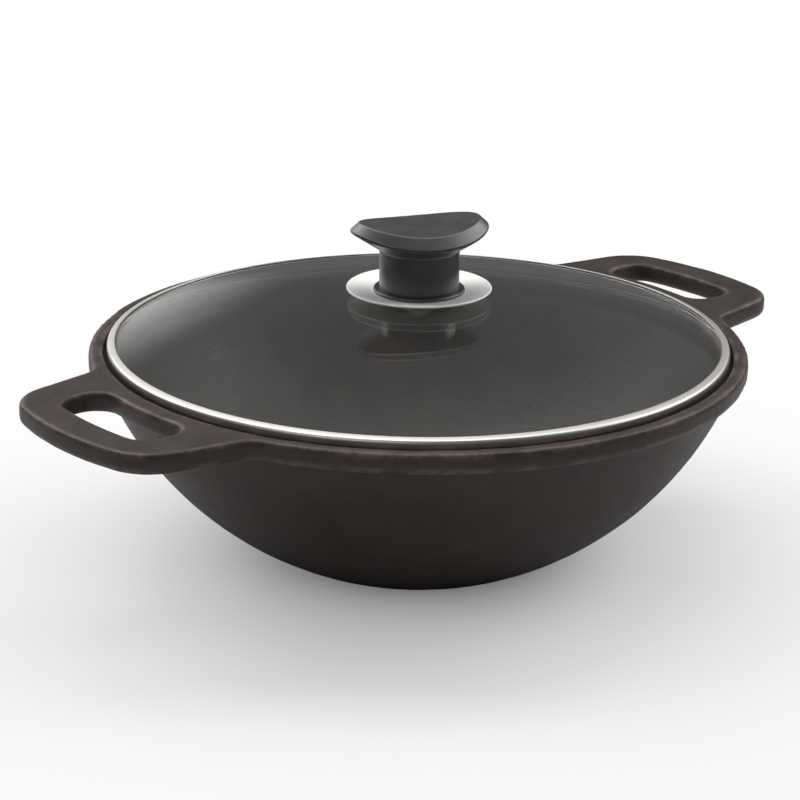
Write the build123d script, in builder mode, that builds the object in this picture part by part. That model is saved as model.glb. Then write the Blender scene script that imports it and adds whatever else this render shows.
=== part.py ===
from build123d import *
from math import cos, radians, sin, sqrt, tan
import os

# Kadai: a cast-iron bowl with two loop handles, and a domed glass lid with a saddle knob
# Lengths in mm, angles in degrees
# +Z is up, the origin is the centre of the base, and the handles lie along X

# Bowl: its outer wall is part of a ball, from the flat base up to the collar
pan_height = 82.0
rim_radius = 127.0
base_radius = 52.0
wall_thickness = 4.5
floor_thickness = 5.0
base_round = 2.0
floor_round = 20.0

# Collar round the rim, one slab with the handles
collar_height = 8.0
collar_overhang = 4.8
collar_top_round = 1.4
collar_bottom_round = 2.4
collar_root_round = 1.4

# Seat for the lid, sunk into the collar
land_width = 5.7
seat_depth = 3.5
seat_width = 5.3
seat_mouth_round = 0.6
ledge_round = 1.0

# Loop handles
handle_length = 37.5
handle_root_half_width = 49.0
handle_tip_half_width = 41.5
handle_bow_radius = 125.0
handle_corner_round = 20.0
handle_root_round = 9.0

# Finger slot in each handle
handle_bar_width = 14.5
slot_web = 2.5
slot_half_length = 27.5
slot_corner_round = 8.0
slot_corner_most_share = 0.42

# Lid: a glass dome in a rolled steel band
lid_side_gap = 1.3
band_thickness = 0.7
band_width = 3.3
band_top_round = 1.6
band_foot_round = 1.0
seal_side_thickness = 0.8
seal_under_thickness = 0.4
touch_gap = 0.05
glass_thickness = 4.0
glass_edge_round = 1.2
glass_hole_radius = 6.0
dome_rise = 18.0

# Steel disc and gaskets that carry the knob
disc_radius = 28.0
disc_flat_radius = 18.5
disc_lift = 1.6
disc_thickness = 0.8
disc_edge_round = 0.3
disc_bend_round = 3.0
upper_gasket_radius = 16.0
upper_gasket_thickness = 0.6
lower_gasket_radius = 13.0
lower_gasket_thickness = 1.2
sleeve_gap = 0.3
clamp_washer_radius = 11.0
clamp_washer_thickness = 1.2
washer_edge_round = 0.3
spring_washer_radius = 4.6
spring_washer_thickness = 1.2
spring_washer_split = 0.8

# Screw and threaded insert
screw_radius = 2.5
screw_hole_gap = 0.25
thread_gap = 0.05
screw_head_radius = 4.75
screw_head_height = 3.2
screw_head_round = 2.0
screw_tip_chamfer = 0.5
recess_width = 1.2
recess_length = 5.2
recess_depth = 1.8
insert_radius = 4.0
insert_length = 11.0
insert_chamfer = 0.4
thread_engagement = 9.0

# Knob: a round stem that flares into an oval plate with a bevelled edge and a saddle top
knob_turn = -20.0
foot_radius = 17.7
foot_height = 1.2
foot_round = 0.6
stem_radius = 15.4
stem_height = 16.6
under_angle = 33.3
under_round = 2.0
plate_half_length = 27.3
plate_half_width = 16.8
plate_side_angle = 47.0
saddle_height = 25.2
saddle_rise = 4.2
plate_top_round = 1.0
plate_edge_round = 0.8

# One overrun serves every cut that has to pass a face, and one tolerance every pick of an edge by its place
cut_overrun = 2.0
pick_tolerance = 0.05

# Heights of the pan
collar_bottom = pan_height - collar_height
ledge_height = pan_height - seat_depth

# The ball passes through the edge of the base and the foot of the collar
wall_top_radius = rim_radius - collar_overhang
ball_centre = (wall_top_radius**2 + collar_bottom**2 - base_radius**2) / (2 * collar_bottom)
ball_radius = sqrt(base_radius**2 + ball_centre**2)
inner_ball_radius = ball_radius - wall_thickness
handle_reach = rim_radius + handle_length

# Radii of the seat and the lid
seat_radius = rim_radius - land_width
neck_radius = seat_radius - seat_width
lid_radius = seat_radius - lid_side_gap
glass_radius = lid_radius - band_thickness - seal_side_thickness

# Glass dome: two balls about one centre
glass_underside = ledge_height + band_thickness + seal_under_thickness
under_ball_radius = (glass_radius**2 + dome_rise**2) / (2 * dome_rise)
upper_ball_radius = under_ball_radius + glass_thickness
dome_centre = glass_underside + dome_rise - under_ball_radius
glass_bottom_mid = dome_centre + under_ball_radius
glass_top_mid = dome_centre + upper_ball_radius

# Stack on the screw, upwards and downwards from the glass
disc_bottom = glass_top_mid + upper_gasket_thickness
knob_base = disc_bottom + disc_thickness
gasket_bottom = glass_bottom_mid - lower_gasket_thickness
clamp_bottom = gasket_bottom - clamp_washer_thickness
head_top = clamp_bottom - spring_washer_thickness
screw_hole_radius = screw_radius + screw_hole_gap
screw_end = knob_base + thread_engagement


def slice_radius(ball, centre, height):
    """Radius at which a ball is cut at that height."""
    return sqrt(ball**2 - (height - centre) ** 2)


def slice_height(ball, centre, radius):
    """Height at which the upper half of a ball has that radius."""
    return centre + sqrt(ball**2 - radius**2)


def wall_points(ball, centre, low, high):
    """Three points of a ball's wall, between two heights."""
    heights = (low, (low + high) / 2, high)
    return [(slice_radius(ball, centre, height), height) for height in heights]


def dome_points(ball, inner, outer):
    """Three points of the dome's curve, between two radii."""
    radii = (inner, (inner + outer) / 2, outer)
    return [(radius, slice_height(ball, dome_centre, radius)) for radius in radii]


def turned_edge(piece, radius, height):
    """Circular edges of that radius at that height."""
    circles = piece.edges().filter_by(GeomType.CIRCLE)
    level = circles.filter_by_position(Axis.Z, height - pick_tolerance, height + pick_tolerance)
    return [edge for edge in level if abs(edge.radius - radius) < pick_tolerance]


def ring(inner, outer, low, high):
    """Rectangle of a turned ring, in the plane of the axis."""
    with Locations(((inner + outer) / 2, (low + high) / 2)):
        Rectangle(outer - inner, high - low)


def handle_outline(side):
    """Outline of one loop handle, from inside the rim out to its bowed edge."""
    tip = handle_reach - handle_bow_radius + sqrt(handle_bow_radius**2 - handle_tip_half_width**2)
    root = sqrt(rim_radius**2 - handle_root_half_width**2)
    inside = root - handle_root_round
    with BuildLine() as outline:
        Line((side * inside, -handle_root_half_width), (side * root, -handle_root_half_width))
        Line((side * root, -handle_root_half_width), (side * tip, -handle_tip_half_width))
        ThreePointArc(
            (side * tip, -handle_tip_half_width),
            (side * handle_reach, 0),
            (side * tip, handle_tip_half_width),
        )
        Line((side * tip, handle_tip_half_width), (side * root, handle_root_half_width))
        Line((side * root, handle_root_half_width), (side * inside, handle_root_half_width))
        Line((side * inside, handle_root_half_width), (side * inside, -handle_root_half_width))
    make_face(outline.edges())


def slot_outline(side):
    """Finger slot of one handle, between two arcs about the pan's axis."""
    inner = rim_radius + slot_web
    outer = handle_reach - handle_bar_width
    inner_end = sqrt(inner**2 - slot_half_length**2)
    outer_end = sqrt(outer**2 - slot_half_length**2)
    with BuildLine() as outline:
        ThreePointArc(
            (side * inner_end, -slot_half_length), (side * inner, 0), (side * inner_end, slot_half_length)
        )
        Line((side * inner_end, slot_half_length), (side * outer_end, slot_half_length))
        ThreePointArc(
            (side * outer_end, slot_half_length), (side * outer, 0), (side * outer_end, -slot_half_length)
        )
        Line((side * outer_end, -slot_half_length), (side * inner_end, -slot_half_length))
    make_face(outline.edges())


# Pan: the bowl, its collar and both handles are one casting
floor_edge = slice_radius(inner_ball_radius, ball_centre, floor_thickness)
neck_bottom = ball_centre - sqrt(inner_ball_radius**2 - neck_radius**2)

with BuildPart() as pan:
    with BuildSketch(Plane.XY.offset(collar_bottom)) as slab:
        Circle(rim_radius)
        for side in (-1, 1):
            handle_outline(side)
        ends = slab.vertices().group_by(Axis.X)
        fillet(ends[0] + ends[-1], handle_corner_round)
        roots = [
            v
            for v in slab.vertices()
            if abs(sqrt(v.X**2 + v.Y**2) - rim_radius) < slot_web and abs(v.Y) > slot_half_length
        ]
        fillet(roots, handle_root_round)
    extrude(amount=collar_height)
    with BuildSketch(Plane.XY.offset(collar_bottom - cut_overrun)) as slots:
        for side in (-1, 1):
            slot_outline(side)
        slot_width = handle_length - handle_bar_width - slot_web
        fillet(slots.vertices(), min(slot_corner_round, slot_corner_most_share * slot_width))
    extrude(amount=collar_height + 2 * cut_overrun, mode=Mode.SUBTRACT)
    fillet(pan.edges().group_by(Axis.Z)[-1], collar_top_round)
    fillet(pan.edges().group_by(Axis.Z)[0], collar_bottom_round)

    with BuildSketch(Plane.XZ):
        with BuildLine():
            Line((0, collar_bottom), (0, 0))
            Line((0, 0), (base_radius, 0))
            ThreePointArc(*wall_points(ball_radius, ball_centre, 0, collar_bottom))
            Line((wall_top_radius, collar_bottom), (0, collar_bottom))
        make_face()
    revolve(axis=Axis.Z)
    fillet(turned_edge(pan, wall_top_radius, collar_bottom), collar_root_round)
    base_edge = pan.edges().filter_by(GeomType.CIRCLE).sort_by(Axis.Z)[0]
    fillet(base_edge, base_round)

    with BuildSketch(Plane.XZ):
        with BuildLine():
            Line((0, pan_height + cut_overrun), (0, floor_thickness))
            Line((0, floor_thickness), (floor_edge, floor_thickness))
            ThreePointArc(*wall_points(inner_ball_radius, ball_centre, floor_thickness, neck_bottom))
            Line((neck_radius, neck_bottom), (neck_radius, ledge_height))
            Line((neck_radius, ledge_height), (seat_radius, ledge_height))
            Line((seat_radius, ledge_height), (seat_radius, pan_height + cut_overrun))
            Line((seat_radius, pan_height + cut_overrun), (0, pan_height + cut_overrun))
        make_face()
    revolve(axis=Axis.Z, mode=Mode.SUBTRACT)
    fillet(turned_edge(pan, seat_radius, pan_height), seat_mouth_round)
    fillet(turned_edge(pan, neck_radius, ledge_height), ledge_round)
    fillet(turned_edge(pan, floor_edge, floor_thickness), floor_round)
pan.part.label = "pan"

# Lid glass: a dome with a ground edge and a hole for the knob's screw
with BuildPart() as lid_glass:
    with BuildSketch(Plane.XZ) as glass_section:
        with BuildLine():
            ThreePointArc(*dome_points(under_ball_radius, glass_hole_radius, glass_radius))
            Line(
                (glass_radius, slice_height(under_ball_radius, dome_centre, glass_radius)),
                (glass_radius, slice_height(upper_ball_radius, dome_centre, glass_radius)),
            )
            ThreePointArc(*dome_points(upper_ball_radius, glass_radius, glass_hole_radius))
            Line(
                (glass_hole_radius, slice_height(upper_ball_radius, dome_centre, glass_hole_radius)),
                (glass_hole_radius, slice_height(under_ball_radius, dome_centre, glass_hole_radius)),
            )
        make_face()
        fillet(glass_section.vertices().group_by(Axis.X)[-1], glass_edge_round)
    revolve(axis=Axis.Z)
lid_glass.part.label = "lid_glass"

# Rolled band: a channel of sheet steel round the edge of the glass
band_inner_wall = lid_radius - band_thickness
band_tip = lid_radius - band_width
band_under_ball = upper_ball_radius + touch_gap
band_upper_ball = band_under_ball + band_thickness
flange_top = ledge_height + band_thickness

with BuildPart() as lid_band:
    with BuildSketch(Plane.XZ) as band_section:
        with BuildLine():
            ThreePointArc(*dome_points(band_upper_ball, band_tip, lid_radius))
            Line(
                (lid_radius, slice_height(band_upper_ball, dome_centre, lid_radius)),
                (lid_radius, ledge_height),
            )
            Line((lid_radius, ledge_height), (band_tip, ledge_height))
            Line((band_tip, ledge_height), (band_tip, flange_top))
            Line((band_tip, flange_top), (band_inner_wall, flange_top))
            Line(
                (band_inner_wall, flange_top),
                (band_inner_wall, slice_height(band_under_ball, dome_centre, band_inner_wall)),
            )
            ThreePointArc(*dome_points(band_under_ball, band_inner_wall, band_tip))
            Line(
                (band_tip, slice_height(band_under_ball, dome_centre, band_tip)),
                (band_tip, slice_height(band_upper_ball, dome_centre, band_tip)),
            )
        make_face()
        for end, bend in ((0, band_foot_round), (-1, band_top_round)):
            outer_corners = band_section.vertices().group_by(Axis.X)[-1]
            fillet(outer_corners.sort_by(Axis.Y)[end], bend)
            inner_corners = band_section.vertices().filter_by_position(
                Axis.X, band_inner_wall - pick_tolerance, band_inner_wall + pick_tolerance
            )
            fillet(inner_corners.sort_by(Axis.Y)[end], bend - band_thickness)
    revolve(axis=Axis.Z)
lid_band.part.label = "lid_band"

# Seal: a bead of silicone between the edge of the glass and the band
seal_tip = band_tip + band_thickness
seal_side = glass_radius + touch_gap
seal_wall = band_inner_wall - touch_gap
seal_floor = flange_top + touch_gap
seal_ball = under_ball_radius - touch_gap
seal_rise = slice_height(seal_ball, dome_centre, glass_radius)
seal_top = slice_height(upper_ball_radius, dome_centre, glass_radius) - glass_edge_round

with BuildPart() as band_seal:
    with BuildSketch(Plane.XZ) as seal_section:
        with BuildLine():
            ThreePointArc(*dome_points(seal_ball, seal_tip, glass_radius))
            Line((glass_radius, seal_rise), (seal_side, glass_underside))
            Line((seal_side, glass_underside), (seal_side, seal_top))
            Line((seal_side, seal_top), (seal_wall, seal_top))
            Line((seal_wall, seal_top), (seal_wall, seal_floor))
            Line((seal_wall, seal_floor), (seal_tip, seal_floor))
            Line((seal_tip, seal_floor), (seal_tip, slice_height(seal_ball, dome_centre, seal_tip)))
        make_face()
        seal_corner = seal_section.vertices().sort_by_distance((seal_wall, seal_floor))[0]
        chamfer(seal_corner, band_foot_round - band_thickness)
    revolve(axis=Axis.Z)
band_seal.part.label = "band_seal"

# Upper gasket: flat on top, hollowed below to sit on the dome
with BuildPart() as upper_gasket:
    with BuildSketch(Plane.XZ):
        with BuildLine():
            ThreePointArc(*dome_points(upper_ball_radius + touch_gap, screw_hole_radius, upper_gasket_radius))
            Line(
                (
                    upper_gasket_radius,
                    slice_height(upper_ball_radius + touch_gap, dome_centre, upper_gasket_radius),
                ),
                (upper_gasket_radius, disc_bottom),
            )
            Line((upper_gasket_radius, disc_bottom), (screw_hole_radius, disc_bottom))
            Line(
                (screw_hole_radius, disc_bottom),
                (
                    screw_hole_radius,
                    slice_height(upper_ball_radius + touch_gap, dome_centre, screw_hole_radius),
                ),
            )
        make_face()
    revolve(axis=Axis.Z)
upper_gasket.part.label = "upper_gasket"

# Lower gasket: a flange under the glass with a sleeve through its hole
sleeve_radius = glass_hole_radius - sleeve_gap
gasket_ball = under_ball_radius - touch_gap
sleeve_top = glass_top_mid - touch_gap

with BuildPart() as lower_gasket:
    with BuildSketch(Plane.XZ):
        with BuildLine():
            ThreePointArc(*dome_points(gasket_ball, sleeve_radius, lower_gasket_radius))
            Line(
                (lower_gasket_radius, slice_height(gasket_ball, dome_centre, lower_gasket_radius)),
                (lower_gasket_radius, gasket_bottom),
            )
            Line((lower_gasket_radius, gasket_bottom), (screw_hole_radius, gasket_bottom))
            Line((screw_hole_radius, gasket_bottom), (screw_hole_radius, sleeve_top))
            Line((screw_hole_radius, sleeve_top), (sleeve_radius, sleeve_top))
            Line(
                (sleeve_radius, sleeve_top),
                (sleeve_radius, slice_height(gasket_ball, dome_centre, sleeve_radius)),
            )
        make_face()
    revolve(axis=Axis.Z)
lower_gasket.part.label = "lower_gasket"

# Steel disc under the knob: a shallow saucer, flat in the middle, with a rim that stands clear of the glass
with BuildPart() as knob_disc:
    with BuildSketch(Plane.XZ) as disc_section:
        with BuildLine():
            Polyline(
                (screw_hole_radius, disc_bottom),
                (disc_flat_radius, disc_bottom),
                (disc_radius, disc_bottom + disc_lift),
                (disc_radius, knob_base + disc_lift),
                (disc_flat_radius, knob_base),
                (screw_hole_radius, knob_base),
                close=True,
            )
        make_face()
        fillet(disc_section.vertices().group_by(Axis.X)[-1], disc_edge_round)
        upper_bend = disc_section.vertices().sort_by_distance((disc_flat_radius, knob_base))[0]
        fillet(upper_bend, disc_bend_round)
        lower_bend = disc_section.vertices().sort_by_distance((disc_flat_radius, disc_bottom))[0]
        fillet(lower_bend, disc_bend_round + disc_thickness)
    revolve(axis=Axis.Z)
knob_disc.part.label = "knob_disc"

# Clamp washer under the lower gasket
with BuildPart() as clamp_washer:
    with BuildSketch(Plane.XZ) as clamp_section:
        ring(screw_hole_radius, clamp_washer_radius, clamp_bottom, gasket_bottom)
        fillet(clamp_section.vertices().group_by(Axis.X)[-1], washer_edge_round)
    revolve(axis=Axis.Z)
clamp_washer.part.label = "clamp_washer"

# Spring washer, split across one side
with BuildPart() as spring_washer:
    with BuildSketch(Plane.XY.offset(head_top)):
        Circle(spring_washer_radius)
        Circle(screw_hole_radius, mode=Mode.SUBTRACT)
        with Locations((spring_washer_radius / 2, 0)):
            Rectangle(spring_washer_radius, spring_washer_split, mode=Mode.SUBTRACT)
    extrude(amount=spring_washer_thickness)
spring_washer.part.label = "spring_washer"

# Screw with a domed head and a cross recess
with BuildPart() as knob_screw:
    with BuildSketch(Plane.XZ) as screw_section:
        ring(0, screw_head_radius, head_top - screw_head_height, head_top)
        ring(0, screw_radius, head_top, screw_end)
        head_edge = screw_section.vertices().group_by(Axis.Y)[0].sort_by(Axis.X)[-1]
        fillet(head_edge, screw_head_round)
        tip_edge = screw_section.vertices().group_by(Axis.Y)[-1].sort_by(Axis.X)[-1]
        chamfer(tip_edge, screw_tip_chamfer)
    revolve(axis=Axis.Z)
    with BuildSketch(Plane.XY.offset(head_top - screw_head_height)):
        Rectangle(recess_length, recess_width)
        Rectangle(recess_width, recess_length)
    extrude(amount=recess_depth, mode=Mode.SUBTRACT)
knob_screw.part.label = "knob_screw"

# Threaded insert moulded into the knob
with BuildPart() as knob_insert:
    with BuildSketch(Plane.XZ) as insert_section:
        ring(screw_radius + thread_gap, insert_radius, knob_base, knob_base + insert_length)
        chamfer(insert_section.vertices().group_by(Axis.X)[-1], insert_chamfer)
    revolve(axis=Axis.Z)
knob_insert.part.label = "knob_insert"

# Knob, turned about the lid's axis
knob_frame = Plane(
    origin=(0, 0, knob_base),
    x_dir=(cos(radians(knob_turn)), sin(radians(knob_turn)), 0),
    z_dir=(0, 0, 1),
)
knob_section = Plane(
    origin=(0, 0, knob_base),
    x_dir=knob_frame.x_dir,
    z_dir=knob_frame.x_dir.cross(knob_frame.z_dir),
)
side_slope = tan(radians(plate_side_angle))
under_slope = tan(radians(under_angle))
plate_low_grow = (saddle_height - stem_height) * side_slope
plate_high = saddle_height + saddle_rise + cut_overrun
plate_high_shrink = (plate_high - saddle_height) * side_slope
flare_reach = plate_half_length + plate_low_grow
flare_height = stem_height + (flare_reach - stem_radius) * under_slope

with BuildPart() as knob:
    with BuildSketch(knob_frame):
        Ellipse(plate_half_length + plate_low_grow, plate_half_width + plate_low_grow)
    extrude(amount=stem_height)
    with BuildSketch(knob_frame.offset(stem_height)):
        Ellipse(plate_half_length + plate_low_grow, plate_half_width + plate_low_grow)
    with BuildSketch(knob_frame.offset(plate_high)):
        Ellipse(plate_half_length - plate_high_shrink, plate_half_width - plate_high_shrink)
    loft()
    with BuildSketch(knob_section) as turned:
        with BuildLine():
            Polyline(
                (0, 0),
                (foot_radius, 0),
                (foot_radius, foot_height),
                (stem_radius, foot_height),
                (stem_radius, stem_height),
                (flare_reach, flare_height),
                (flare_reach, plate_high),
                (0, plate_high),
                close=True,
            )
        make_face()
        foot_edge = turned.vertices().sort_by_distance((foot_radius, foot_height))[0]
        fillet(foot_edge, foot_round)
        under_corner = turned.vertices().sort_by_distance((stem_radius, stem_height))[0]
        fillet(under_corner, under_round)
    revolve(axis=Axis((0, 0, knob_base), (0, 0, 1)), mode=Mode.INTERSECT)
    with BuildSketch(knob_section):
        with BuildLine():
            saddle_end = plate_half_length + cut_overrun
            end_height = saddle_height + saddle_rise * (saddle_end / plate_half_length) ** 2
            ThreePointArc((-saddle_end, end_height), (0, saddle_height), (saddle_end, end_height))
            Line((saddle_end, end_height), (saddle_end, plate_high + saddle_rise))
            Line((saddle_end, plate_high + saddle_rise), (-saddle_end, plate_high + saddle_rise))
            Line((-saddle_end, plate_high + saddle_rise), (-saddle_end, end_height))
        make_face()
    extrude(amount=plate_half_length, both=True, mode=Mode.SUBTRACT)
    for order, size in ((-1, plate_top_round), (0, plate_edge_round)):
        arrises = [edge for edge in knob.edges().filter_by(GeomType.BSPLINE) if edge.is_closed]
        fillet(sorted(arrises, key=lambda edge: edge.center().Z)[order], size)
    with BuildSketch(knob_frame):
        Circle(insert_radius)
    extrude(amount=insert_length, mode=Mode.SUBTRACT)
knob.part.label = "knob"

pieces = [
    pan,
    lid_glass,
    lid_band,
    band_seal,
    upper_gasket,
    lower_gasket,
    knob_disc,
    clamp_washer,
    spring_washer,
    knob_screw,
    knob_insert,
    knob,
]
os.makedirs("parts", exist_ok=True)
for piece in pieces:
    export_step(piece.part, "parts/" + piece.part.label + ".step")
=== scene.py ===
import math

import bpy
from mathutils import Matrix, Vector, noise


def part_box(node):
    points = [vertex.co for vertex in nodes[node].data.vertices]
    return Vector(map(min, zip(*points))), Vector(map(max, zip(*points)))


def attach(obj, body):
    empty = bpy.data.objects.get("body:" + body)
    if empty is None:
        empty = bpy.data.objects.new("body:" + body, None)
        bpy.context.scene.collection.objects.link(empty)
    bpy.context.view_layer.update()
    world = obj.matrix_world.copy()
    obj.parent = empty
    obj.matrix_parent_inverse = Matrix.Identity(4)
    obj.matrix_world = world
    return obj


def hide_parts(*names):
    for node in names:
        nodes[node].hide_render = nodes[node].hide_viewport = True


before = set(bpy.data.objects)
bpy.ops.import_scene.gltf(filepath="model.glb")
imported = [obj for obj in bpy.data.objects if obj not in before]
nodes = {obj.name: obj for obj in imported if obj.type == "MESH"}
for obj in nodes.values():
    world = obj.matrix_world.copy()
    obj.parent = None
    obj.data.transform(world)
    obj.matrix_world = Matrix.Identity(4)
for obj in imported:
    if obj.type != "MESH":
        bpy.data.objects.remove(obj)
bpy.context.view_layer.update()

# All lengths are in metres and all angles in degrees
MM = 0.001

# Camera, fitted to the photograph's rim, handles and outline
camera_azimuth = -40.17
camera_elevation = 18.98
camera_roll = 0.68
camera_distance = 976.4 * MM
camera_lens_mm = 112.5
camera_target = Vector((-5.2, 4.4, 58.1)) * MM

# Stage: a round pale floor, a dim room, and a white backdrop behind the pan on the picture's left
white = (1.0, 1.0, 1.0)
floor_colour = (0.80, 0.80, 0.80)
floor_roughness = 0.9
floor_specular = 0.1
floor_radius = 0.50
floor_points = 128
floor_drop = 0.05 * MM
floor_glow_start = 0.050
floor_glow_near_share = 0.06
floor_glow_bend = 0.42
floor_mirror_start = 0.15
ambient_strength = 0.12
backdrop_azimuth = 172
backdrop_elevation = 0
backdrop_full_angle = 12
backdrop_end_angle = 28
backdrop_strength = 1.0

# Soft lamps: name, azimuth, elevation, distance, width, height and brightness
lamps = (
    ("left_box", 188, 44, 2.2, 1.2, 2.0, 3.8),
    ("right_box", 78, 38, 2.2, 1.7, 1.5, 3.4),
    ("back_top", 139, 71, 2.2, 1.8, 0.9, 3.6),
    ("front_fill", -75, 48, 2.4, 1.6, 1.0, 1.5),
)

# Parts of a noise's range that a finish runs over
middle_of_noise = (0.35, 0.65)
most_of_noise = (0.3, 0.7)

# Cast iron: seasoning in patches, arrises a lighter brown where scuffed (partly real wear, partly a painted
# highlight along the arrises), and two sizes of grain
iron_colour = (0.033, 0.0240, 0.0205)
iron_seasonings = ((0.0270, 0.0195, 0.0168), (0.0420, 0.0300, 0.0255))
# Lighter brown of the scuffed arrises: partly real wear, partly a painted highlight
iron_wear_and_sheen_colour = (0.160, 0.106, 0.087)
iron_roughness = 0.5
iron_roughnesses = (0.44, 0.58)
iron_specular = 0.35
iron_patch_length = 16 * MM
iron_patch_detail = 6.0
iron_patch_roughness = 0.65
iron_scuff_and_sheen_length = 13 * MM
iron_scuff_and_sheen_detail = 5.0
iron_scuff_and_sheen_roughness = 0.7
iron_scuff_and_sheen_limits = (0.45, 0.64)
iron_scuff_and_sheen_shares = (0.05, 0.9)
iron_coarse_length = 2.2 * MM
iron_coarse_depth = 0.16 * MM
iron_fine_length = 0.6 * MM
iron_fine_roughness = 0.6
iron_fine_depth = 0.07 * MM

# Tempered glass, with the slight wave of its faces and the light that it lets through
glass_colour = (0.96, 0.985, 0.975)
glass_shade_colour = (0.90, 0.93, 0.92)
glass_refraction = 1.5
glass_specular = 0.3
glass_wave_length = 60 * MM
glass_wave_depth = 0.03 * MM

# Stainless steel: colour, roughness, length and depth of the round lines, and spread of the gloss
band_steel = ((0.48, 0.467, 0.448), 0.40, 0.35 * MM, 0.004 * MM, 0.4)
disc_steel = ((0.96, 0.955, 0.94), 0.78, 0.3 * MM, 0.004 * MM, 0.4)
plain_steel = ((0.62, 0.62, 0.61), 0.3, 0.2 * MM, 0.008 * MM, 0.6)
steel_least_share = 0.8
steel_most_share = 1.25
turned_detail = 2.0

# Silicone with a faint bloom
silicone_colour = (0.022, 0.022, 0.021)
silicone_blooms = ((0.018, 0.018, 0.017), (0.030, 0.030, 0.028))
silicone_bloom_limits = (0.35, 0.7)
silicone_bloom_length = 4 * MM
silicone_roughness = 0.55
silicone_specular = 0.4
silicone_grain_length = 0.6 * MM
silicone_grain_depth = 0.02 * MM

# Turned brass
brass_colour = (0.72, 0.50, 0.22)
brass_roughness = 0.32
brass_line_length = 0.12 * MM
brass_line_depth = 0.01 * MM

# Moulded plastic of the knob
plastic_colour = (0.045, 0.041, 0.037)
plastic_clouds = ((0.041, 0.0370, 0.0335), (0.050, 0.0450, 0.0405))
plastic_cloud_length = 9 * MM
plastic_roughness = 0.36
plastic_roughnesses = (0.31, 0.40)
plastic_specular = 0.8
plastic_grain_length = 0.28 * MM
plastic_grain_detail = 2.0
plastic_grain_depth = 0.022 * MM

# Cast surface of the pan: a fine, even mesh with two layers of waviness
cast_voxel = 0.8 * MM
cast_smooth_share = 0.5
cast_smooth_rounds = 6
wave_depth = 0.10 * MM
wave_length = 11 * MM
grain_depth = 0.035 * MM
grain_length = 3.0 * MM

# Worn arrises, partly real wear and partly a painted highlight: rounds of smoothing that find them, and the
# millimetres at which the wear and painted highlight start and are full
arris_rounds = 16
arris_limits = (0.05, 0.20)

# Turned pieces of the lid: the dome's two balls, and the band's sheet steel
turned_steps = 480
bend_steps = 8
dome_steps = 60
dome_centre = -301.4625 * MM
glass_under_ball = 399.0625 * MM
glass_upper_ball = 403.0625 * MM
glass_hole_radius = 6.0 * MM
glass_radius = 118.5 * MM
glass_edge_round = 1.2 * MM
glass_hole_round = 0.4 * MM
band_under_ball = 403.1125 * MM
band_upper_ball = 403.8125 * MM
band_tip_radius = 116.7 * MM
band_inner_radius = 119.3 * MM
band_radius = 120.0 * MM
band_bottom = 78.5 * MM
band_flange_top = 79.2 * MM
band_lip_round = 0.3 * MM
band_top_round = 1.6 * MM
band_foot_round = 1.0 * MM
band_sheet = 0.7 * MM

# Bend radii that the dome's plain curve keeps from its hole and from its edge
glass_hole_room = 2
glass_edge_room = 3


class Nodes:
    """Short calls that build the node tree of a material or of the world."""

    def __init__(self, owner):
        self.data = owner
        owner.use_nodes = True
        self.tree = owner.node_tree
        self.tree.nodes.clear()

    def enter(self, node, entry, value):
        """Puts a value, or another node's output, in an entry of a node."""
        target = node.inputs[entry]
        if isinstance(value, bpy.types.NodeSocket):
            self.tree.links.new(value, target)
        elif target.type == "RGBA":
            target.default_value = (*value, 1.0)
        else:
            target.default_value = value

    def add(self, kind, entries=None, **settings):
        """New node, with its settings and what goes in its entries by name or number."""
        node = self.tree.nodes.new(kind)
        for key, value in settings.items():
            setattr(node, key, value)
        for entry, value in (entries or {}).items():
            self.enter(node, entry, value)
        return node

    def combine(self, operation, first, second):
        """Result of a sum on two values."""
        return self.add("ShaderNodeMath", {0: first, 1: second}, operation=operation).outputs["Value"]

    def mix(self, share, start, end):
        """Colour or number that goes from start to end as the share goes from 0 to 1."""
        if isinstance(end, tuple):
            return self.add("ShaderNodeMix", {0: share, 6: start, 7: end}, data_type="RGBA").outputs[2]
        return self.add("ShaderNodeMix", {0: share, 2: start, 3: end}, data_type="FLOAT").outputs[0]

    def ramp(self, source, limits, ends):
        """Colour or number that goes from one end to the other as the source goes between two limits."""
        low, high = limits
        share = self.add("ShaderNodeMapRange", {"Value": source, "From Min": low, "From Max": high})
        return self.mix(share.outputs["Result"], *ends)

    def mirror_rays(self, path):
        """One for the rays by which metal and glass see what is behind them."""
        return self.combine("MAXIMUM", path["Is Glossy Ray"], path["Is Transmission Ray"])


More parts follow.
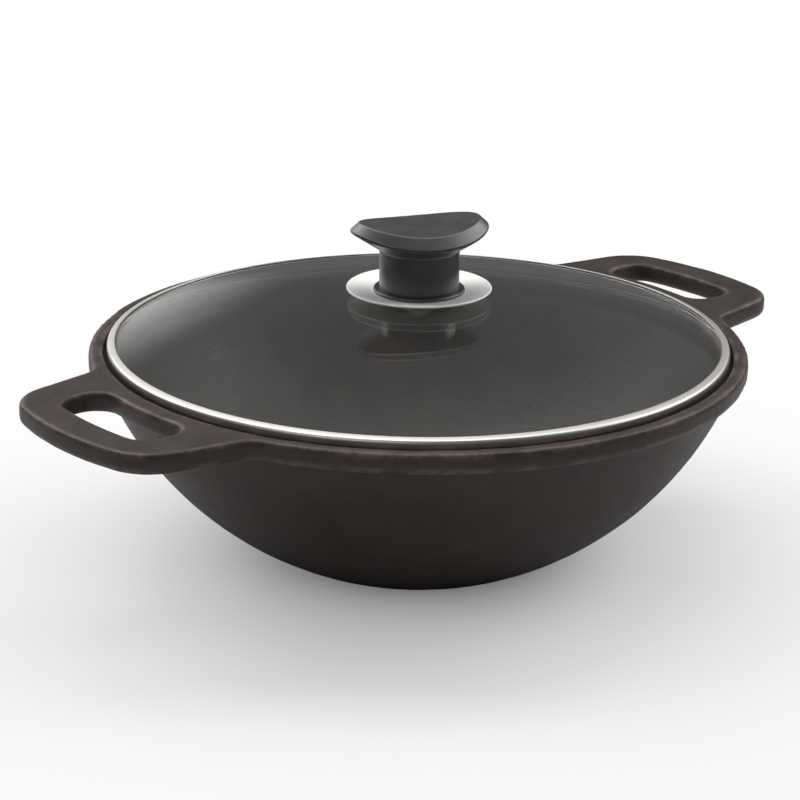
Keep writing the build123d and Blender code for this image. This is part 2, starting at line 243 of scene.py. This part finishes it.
class Material(Nodes):
    """A node material with a Principled shader, and short calls for its textures.

    Where textures drive its colour or roughness, the plain value given here is for viewers without nodes.
    """

    def __init__(self, name, colour, roughness, metallic=0.0, specular=0.5):
        super().__init__(bpy.data.materials.new(name))
        self.shader = self.add("ShaderNodeBsdfPrincipled", {
            "Base Color": colour,
            "Roughness": roughness,
            "Metallic": metallic,
            "Specular IOR Level": specular,
        })
        self.output = self.add("ShaderNodeOutputMaterial", {"Surface": self.shader.outputs["BSDF"]})
        self.place = self.add("ShaderNodeTexCoord").outputs["Object"]

    def set(self, name, value):
        """Puts a value, or another node's output, in an entry of the shader."""
        self.enter(self.shader, name, value)

    def noise(self, length, detail=3.0, roughness=0.55):
        """Noise whose features are about that long, in metres."""
        scaled = self.add("ShaderNodeMapping", {"Vector": self.place, "Scale": [1.0 / length] * 3})
        return self.add("ShaderNodeTexNoise", {
            "Vector": scaled.outputs["Vector"], "Scale": 1.0, "Detail": detail, "Roughness": roughness,
        }).outputs["Fac"]

    def turned_noise(self, length):
        """Noise that is even all the way round the Z axis, as on a turned or spun surface."""
        parts = self.add("ShaderNodeSeparateXYZ", {"Vector": self.place}).outputs
        flat = self.add("ShaderNodeCombineXYZ", {"X": parts["X"], "Y": parts["Y"]}).outputs["Vector"]
        reach = self.add("ShaderNodeVectorMath", {0: flat}, operation="LENGTH").outputs["Value"]
        profile = self.add("ShaderNodeCombineXYZ", {"X": reach, "Z": parts["Z"]}).outputs["Vector"]
        scaled = self.add("ShaderNodeVectorMath", {0: profile, "Scale": 1.0 / length}, operation="SCALE")
        return self.add("ShaderNodeTexNoise", {
            "Vector": scaled.outputs["Vector"], "Scale": 1.0, "Detail": turned_detail,
        }).outputs["Fac"]

    def bump(self, source, depth, below=None):
        """Bump of that depth in metres, on top of another bump."""
        entries = {"Strength": 1.0, "Distance": depth, "Height": source}
        if below:
            entries["Normal"] = below
        normal = self.add("ShaderNodeBump", entries).outputs["Normal"]
        self.set("Normal", normal)
        return normal

    def cover(self, share, other):
        """Shows another shader in place of the Principled one, by that share."""
        choice = self.add("ShaderNodeMixShader", {0: share, 1: self.shader.outputs["BSDF"], 2: other})
        self.enter(self.output, "Surface", choice.outputs["Shader"])


def cast_iron():
    """Seasoned cast iron: dark, warm and matt, with a sand-cast grain, and arrises a lighter brown that is
    partly real wear and partly a painted highlight.
    """
    iron = Material("cast_iron", iron_colour, iron_roughness, specular=iron_specular)
    patches = iron.noise(iron_patch_length, iron_patch_detail, iron_patch_roughness)
    seasoning = iron.ramp(patches, middle_of_noise, iron_seasonings)
    shape = iron.add("ShaderNodeAttribute", attribute_name="arris").outputs["Fac"]
    arris = iron.ramp(shape, arris_limits, (0.0, 1.0))
    # Scuffed stretches of the arrises turn a lighter brown: partly real wear, partly a painted highlight
    # along them
    scuff_and_sheen_noise = iron.noise(iron_scuff_and_sheen_length, iron_scuff_and_sheen_detail, iron_scuff_and_sheen_roughness)
    wear_and_sheen = iron.combine("MULTIPLY", arris, iron.ramp(scuff_and_sheen_noise, iron_scuff_and_sheen_limits, iron_scuff_and_sheen_shares))
    iron.set("Base Color", iron.mix(wear_and_sheen, seasoning, iron_wear_and_sheen_colour))
    iron.set("Roughness", iron.ramp(patches, most_of_noise, iron_roughnesses))
    coarse = iron.bump(iron.noise(iron_coarse_length), iron_coarse_depth)
    iron.bump(iron.noise(iron_fine_length, roughness=iron_fine_roughness), iron_fine_depth, coarse)
    return iron.data


def clear_glass():
    """Tempered glass, faintly green, that lets the lamps through."""
    glass = Material("clear_glass", glass_colour, 0.0, specular=glass_specular)
    glass.set("Transmission Weight", 1.0)
    glass.set("IOR", glass_refraction)
    glass.bump(glass.noise(glass_wave_length, detail=1.0), glass_wave_depth)
    shadow = glass.add("ShaderNodeLightPath").outputs["Is Shadow Ray"]
    open_way = glass.add("ShaderNodeBsdfTransparent", {"Color": glass_shade_colour})
    glass.cover(shadow, open_way.outputs["BSDF"])
    return glass.data


def spun_steel(name, colour, roughness, line_length, line_depth, spread):
    """Stainless steel with the fine round lines of spinning and polishing, which spread its gloss."""
    steel = Material(name, colour, roughness, metallic=1.0)
    steel.set("Anisotropic", spread)
    steel.set("Tangent", steel.add("ShaderNodeTangent", direction_type="RADIAL", axis="Z").outputs["Tangent"])
    lines = steel.turned_noise(line_length)
    ends = (roughness * steel_least_share, roughness * steel_most_share)
    steel.set("Roughness", steel.ramp(lines, most_of_noise, ends))
    steel.bump(lines, line_depth)
    return steel.data


def soft_silicone():
    """Dark silicone rubber with a faint bloom."""
    rubber = Material("soft_silicone", silicone_colour, silicone_roughness, specular=silicone_specular)
    bloom = rubber.noise(silicone_bloom_length)
    rubber.set("Base Color", rubber.ramp(bloom, silicone_bloom_limits, silicone_blooms))
    rubber.bump(rubber.noise(silicone_grain_length), silicone_grain_depth)
    return rubber.data


def turned_brass():
    """Turned brass, a little dulled."""
    brass = Material("turned_brass", brass_colour, brass_roughness, metallic=1.0)
    brass.bump(brass.turned_noise(brass_line_length), brass_line_depth)
    return brass.data


def moulded_plastic():
    """Black moulded plastic with a fine spark-eroded texture."""
    plastic = Material("moulded_plastic", plastic_colour, plastic_roughness, specular=plastic_specular)
    cloud = plastic.noise(plastic_cloud_length)
    plastic.set("Base Color", plastic.ramp(cloud, middle_of_noise, plastic_clouds))
    plastic.set("Roughness", plastic.ramp(cloud, most_of_noise, plastic_roughnesses))
    plastic.bump(plastic.noise(plastic_grain_length, plastic_grain_detail), plastic_grain_depth)
    return plastic.data


def floor_paper():
    """Pale floor that fades to white outwards, for the camera, metal and glass, and keeps a soft shadow."""
    paper = Material("floor_paper", floor_colour, floor_roughness, specular=floor_specular)
    path = paper.add("ShaderNodeLightPath").outputs
    distance = paper.add("ShaderNodeVectorMath", {0: paper.place}, operation="LENGTH").outputs["Value"]
    outwards = paper.ramp(distance, (floor_glow_start, floor_radius), (0.0, 1.0))
    bent = paper.combine("POWER", outwards, floor_glow_bend)
    seen = paper.ramp(bent, (0.0, 1.0), (floor_glow_near_share, 1.0))
    mirrored = paper.ramp(distance, (floor_mirror_start, floor_radius), (0.0, 1.0))
    for_camera = paper.combine("MULTIPLY", path["Is Camera Ray"], seen)
    for_mirrors = paper.combine("MULTIPLY", paper.mirror_rays(path), mirrored)
    glow = paper.add("ShaderNodeEmission")
    paper.cover(paper.combine("MAXIMUM", for_camera, for_mirrors), glow.outputs["Emission"])
    return paper.data


def direction(azimuth, elevation):
    """Unit vector from the pan towards that side. Azimuth 0 is towards -Y and grows towards +X."""
    turn, rise = math.radians(azimuth), math.radians(elevation)
    return Vector((math.sin(turn) * math.cos(rise), -math.cos(turn) * math.cos(rise), math.sin(rise)))


def placed(name, data):
    """New object in the scene."""
    thing = bpy.data.objects.new(name, data)
    bpy.context.scene.collection.objects.link(thing)
    return thing


def add_camera():
    """Camera at the photograph's place, with its small roll."""
    back = direction(camera_azimuth, camera_elevation)
    turn = math.radians(camera_azimuth)
    right = Vector((math.cos(turn), math.sin(turn), 0.0))
    up = back.cross(right)
    roll = math.radians(camera_roll)
    rolled_right = right * math.cos(roll) + up * math.sin(roll)
    rolled_up = up * math.cos(roll) - right * math.sin(roll)
    data = bpy.data.cameras.new("camera")
    data.lens = camera_lens_mm
    camera = placed("camera", data)
    axes = Matrix((rolled_right, rolled_up, back)).transposed().to_4x4()
    camera.matrix_world = Matrix.Translation(camera_target + back * camera_distance) @ axes
    bpy.context.scene.camera = camera


def add_softbox(name, azimuth, elevation, distance, width, height, brightness):
    """Soft rectangular lamp that faces the pan."""
    data = bpy.data.lights.new(name, "AREA")
    data.shape = "RECTANGLE"
    data.size = width
    data.size_y = height
    data.energy = brightness * math.pi * width * height
    lamp = placed(name, data)
    way = direction(azimuth, elevation)
    lamp.location = camera_target + way * distance
    lamp.rotation_mode = "QUATERNION"
    lamp.rotation_quaternion = way.to_track_quat("Z", "Y")


def add_world():
    """Dim even light from all round, and a white backdrop that metal and glass show."""
    world = bpy.data.worlds.new("studio")
    bpy.context.scene.world = world
    room = Nodes(world)
    path = room.add("ShaderNodeLightPath").outputs
    place = room.add("ShaderNodeTexCoord").outputs["Generated"]
    middle = tuple(direction(backdrop_azimuth, backdrop_elevation))
    nearness = room.add("ShaderNodeVectorMath", {0: place, 1: middle}, operation="DOT_PRODUCT")
    sheet = room.add("ShaderNodeMapRange", {
        "Value": nearness.outputs["Value"],
        "From Min": math.cos(math.radians(backdrop_end_angle)),
        "From Max": math.cos(math.radians(backdrop_full_angle)),
    }, interpolation_type="SMOOTHSTEP").outputs["Result"]
    mirrored = room.combine("MULTIPLY", room.mirror_rays(path), sheet)
    dim = room.add("ShaderNodeBackground", {"Color": white, "Strength": ambient_strength})
    bright = room.add("ShaderNodeBackground", {"Color": white, "Strength": backdrop_strength})
    choice = room.add("ShaderNodeMixShader", {
        0: room.combine("MAXIMUM", path["Is Camera Ray"], mirrored),
        1: dim.outputs["Background"],
        2: bright.outputs["Background"],
    })
    room.add("ShaderNodeOutputWorld", {"Surface": choice.outputs["Shader"]})


def add_floor(material):
    """Flat round floor under the pan."""
    mesh = bpy.data.meshes.new("floor")
    turns = [math.tau * point / floor_points for point in range(floor_points)]
    rim = [(floor_radius * math.cos(turn), floor_radius * math.sin(turn), -floor_drop) for turn in turns]
    mesh.from_pydata(rim, [], [tuple(range(floor_points))])
    mesh.materials.append(material)
    placed("floor", mesh)


def finish_mesh(mesh, material):
    """Gives a mesh its only material and smooth shading."""
    mesh.materials.clear()
    mesh.materials.append(material)
    for polygon in mesh.polygons:
        polygon.use_smooth = True


def evened(piece, rounds):
    """Mesh of a piece after its modifiers and that many more rounds of smoothing."""
    even = piece.modifiers.new("even", "SMOOTH")
    even.factor = cast_smooth_share
    even.iterations = rounds
    depsgraph = bpy.context.evaluated_depsgraph_get()
    mesh = bpy.data.meshes.new_from_object(piece.evaluated_get(depsgraph), depsgraph=depsgraph)
    piece.modifiers.clear()
    return mesh


def mark_arrises(piece):
    """Marks how far each point stands out on an outer arris, in millimetres."""
    smooth = evened(piece, arris_rounds)
    marks = [max(0.0, (vertex.co - low.co).dot(vertex.normal) / MM)
             for vertex, low in zip(piece.data.vertices, smooth.vertices)]
    arris = piece.data.attributes.new("arris", "FLOAT", "POINT")
    arris.data.foreach_set("value", marks)
    bpy.data.meshes.remove(smooth)


def cast_copy(node, name, material):
    """Fine, even mesh of a casting, with the slight waviness and rounded arrises of the real surface."""
    lowest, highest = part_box(node)
    piece = placed(name, nodes[node].data.copy())
    remesh = piece.modifiers.new("remesh", "REMESH")
    remesh.mode = "VOXEL"
    remesh.voxel_size = cast_voxel
    piece.data = evened(piece, cast_smooth_rounds)
    fine = piece.data
    fine.name = name
    mark_arrises(piece)
    places = []
    for vertex in fine.vertices:
        wave = noise.noise(vertex.co / wave_length) * wave_depth
        grain = noise.noise(vertex.co / grain_length) * grain_depth
        place = vertex.co + vertex.normal * (wave + grain)
        places.append([min(max(value, low), high) for value, low, high in zip(place, lowest, highest)])
    for vertex, place in zip(fine.vertices, places):
        vertex.co = place
    finish_mesh(fine, material)
    return piece


def on_dome(radius, ball, bend=0.0):
    """Corner of a profile at that radius on one of the dome's balls."""
    return radius, dome_centre + math.sqrt(ball ** 2 - radius ** 2), bend


def dome_curve(ball, start, end):
    """Points of a ball's curve from one radius to another, with no bends."""
    return [on_dome(start + (end - start) * step / dome_steps, ball) for step in range(dome_steps + 1)]


def bent_profile(corners):
    """Closed profile through corners of radius, height and bend, with each bend drawn as an arc."""
    points = []
    for index, (radius, height, bend) in enumerate(corners):
        corner = Vector((radius, height))
        if not bend:
            points.append(corner)
            continue
        back = (Vector(corners[index - 1][:2]) - corner).normalized()
        ahead = (Vector(corners[(index + 1) % len(corners)][:2]) - corner).normalized()
        half = back.angle(ahead) / 2
        middle = corner + (back + ahead).normalized() * bend / math.sin(half)
        start = corner + back * bend / math.tan(half) - middle
        sweep = (math.pi - 2 * half) * math.copysign(1.0, back.cross(ahead))
        for step in range(bend_steps + 1):
            turn = -sweep * step / bend_steps
            turned = Vector((start.x * math.cos(turn) - start.y * math.sin(turn),
                             start.x * math.sin(turn) + start.y * math.cos(turn)))
            points.append(middle + turned)
    return points


def turned_copy(name, corners, material):
    """Finely turned mesh of a closed profile about the Z axis."""
    profile = bent_profile(corners)
    count = len(profile)
    places = []
    for step in range(turned_steps):
        turn = math.tau * step / turned_steps
        places += [(point.x * math.cos(turn), point.x * math.sin(turn), point.y) for point in profile]
    faces = []
    for step in range(turned_steps):
        here, there = step * count, (step + 1) % turned_steps * count
        for point in range(count):
            after = (point + 1) % count
            faces.append((here + point, there + point, there + after, here + after))
    mesh = bpy.data.meshes.new(name)
    mesh.from_pydata(places, [], faces)
    finish_mesh(mesh, material)
    return placed(name, mesh)


def stand_in(piece, node, body):
    """Puts a finer piece in the place of a CAD node, on the same body."""
    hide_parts(node)
    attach(piece, body)


def dress(material, *names):
    """Gives CAD nodes their finish."""
    for name in names:
        for entry in nodes[name].material_slots:
            entry.material = material


stand_in(cast_copy("pan", "pan_casting", cast_iron()), "pan", "pan")

dome_start = glass_hole_radius + glass_hole_room * glass_hole_round
dome_end = glass_radius - glass_edge_room * glass_edge_round
dome_corners = (
    on_dome(glass_hole_radius, glass_under_ball, glass_hole_round),
    *dome_curve(glass_under_ball, dome_start, dome_end),
    on_dome(glass_radius, glass_under_ball, glass_edge_round),
    on_dome(glass_radius, glass_upper_ball, glass_edge_round),
    *dome_curve(glass_upper_ball, dome_end, dome_start),
    on_dome(glass_hole_radius, glass_upper_ball, glass_hole_round),
)
stand_in(turned_copy("glass_dome", dome_corners, clear_glass()), "lid_glass", "lid")

band_corners = (
    on_dome(band_tip_radius, band_under_ball, band_lip_round),
    on_dome(band_tip_radius, band_upper_ball, band_lip_round),
    on_dome(band_radius, band_upper_ball, band_top_round),
    (band_radius, band_bottom, band_foot_round),
    (band_tip_radius, band_bottom, band_lip_round),
    (band_tip_radius, band_flange_top, band_lip_round),
    (band_inner_radius, band_flange_top, band_foot_round - band_sheet),
    on_dome(band_inner_radius, band_under_ball, band_top_round - band_sheet),
)
band = turned_copy("rolled_band", band_corners, spun_steel("polished_steel_rings", *band_steel))
stand_in(band, "lid_band", "lid")

dress(spun_steel("satin_steel_rings", *disc_steel), "knob_disc")
dress(soft_silicone(), "band_seal", "upper_gasket", "lower_gasket")
dress(spun_steel("plain_steel_rings", *plain_steel), "clamp_washer", "spring_washer", "knob_screw")
dress(turned_brass(), "knob_insert")
dress(moulded_plastic(), "knob")

add_camera()
add_world()
add_floor(floor_paper())
for lamp in lamps:
    add_softbox(*lamp)
bpy.context.scene.view_settings.view_transform = "Standard"
